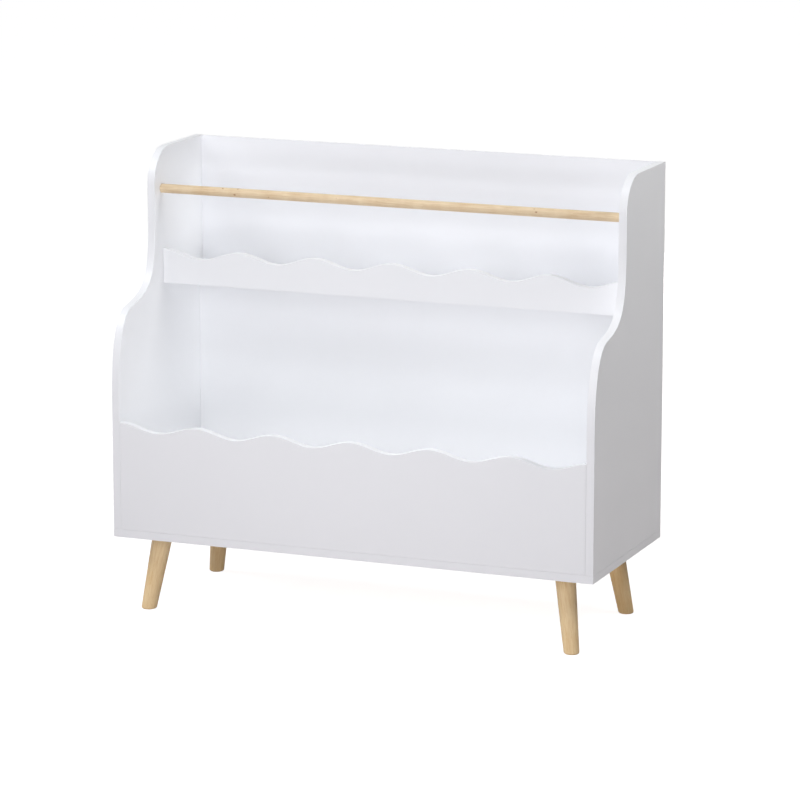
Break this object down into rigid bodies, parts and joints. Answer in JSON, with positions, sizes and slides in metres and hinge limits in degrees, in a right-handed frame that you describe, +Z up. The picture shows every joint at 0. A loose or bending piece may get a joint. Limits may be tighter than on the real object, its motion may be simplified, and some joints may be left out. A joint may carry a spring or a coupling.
{
  "type": "toy storage bookcase",
  "caption": "White child's bookcase on splayed wooden legs, with a wavy-fronted open toy bin below, and a book shelf with a wavy lip and a round wooden rail above.",
  "frame": {"origin": "on the floor, under the middle of the case's width and depth", "axes": "+X to the right as seen from the front, the front faces -Y, +Z up"},
  "size_m": [1, 0.4, 0.897],
  "materials": {
    "white_lacquer": "smooth satin white lacquer on fibreboard",
    "back_sheet": "thin fibreboard with a satin white face",
    "rail_wood": "pale clear-coated softwood with small knots",
    "leg_wood": "light clear-coated hardwood",
    "dowel_wood": "raw beech",
    "zinc_steel": "zinc-plated steel"
  },
  "bodies": {
    "case": {"base_panel": "white_lacquer", "left_side_panel": "white_lacquer", "right_side_panel": "white_lacquer", "lower_front_panel": "white_lacquer", "lower_back_board": "white_lacquer", "back_panel": "back_sheet", "upper_shelf": "white_lacquer", "shelf_lip": "white_lacquer", "front_left_leg": "leg_wood", "front_right_leg": "leg_wood", "rear_left_leg": "leg_wood", "rear_right_leg": "leg_wood", "front_left_leg_plate": "zinc_steel", "front_right_leg_plate": "zinc_steel", "rear_left_leg_plate": "zinc_steel", "rear_right_leg_plate": "zinc_steel", "front_left_hanger_bolt": "zinc_steel", "front_right_hanger_bolt": "zinc_steel", "rear_left_hanger_bolt": "zinc_steel", "rear_right_hanger_bolt": "zinc_steel", "front_left_plate_screw_1": "zinc_steel", "front_right_plate_screw_1": "zinc_steel", "rear_left_plate_screw_1": "zinc_steel", "rear_right_plate_screw_1": "zinc_steel", "front_left_plate_screw_2": "zinc_steel", "front_right_plate_screw_2": "zinc_steel", "rear_left_plate_screw_2": "zinc_steel", "rear_right_plate_screw_2": "zinc_steel", "front_left_plate_screw_3": "zinc_steel", "front_right_plate_screw_3": "zinc_steel", "rear_left_plate_screw_3": "zinc_steel", "rear_right_plate_screw_3": "zinc_steel", "front_left_plate_screw_4": "zinc_steel", "front_right_plate_screw_4": "zinc_steel", "rear_left_plate_screw_4": "zinc_steel", "rear_right_plate_screw_4": "zinc_steel", "back_board_left_base_screw": "zinc_steel", "back_board_right_base_screw": "zinc_steel", "front_panel_left_base_screw": "zinc_steel", "front_panel_right_base_screw": "zinc_steel", "left_side_front_base_screw": "zinc_steel", "left_side_rear_base_screw": "zinc_steel", "right_side_front_base_screw": "zinc_steel", "right_side_rear_base_screw": "zinc_steel", "left_front_cam_lock": "zinc_steel", "left_rear_cam_lock": "zinc_steel", "right_front_cam_lock": "zinc_steel", "right_rear_cam_lock": "zinc_steel", "left_front_cam_bolt": "zinc_steel", "left_rear_cam_bolt": "zinc_steel", "right_front_cam_bolt": "zinc_steel", "right_rear_cam_bolt": "zinc_steel", "back_board_left_dowel": "dowel_wood", "back_board_right_dowel": "dowel_wood", "front_panel_left_dowel": "dowel_wood", "front_panel_right_dowel": "dowel_wood", "lip_left_dowel": "dowel_wood", "lip_right_dowel": "dowel_wood"},
    "book_rail": {"book_rail": "rail_wood"}
  },
  "joints": [
    {"name": "book_rail_spin", "type": "hinge", "parent": "case", "child": "book_rail", "pos_m": [0, 0.005, 0.8155], "axis": [1, 0, 0], "continuous": true}
  ]
}
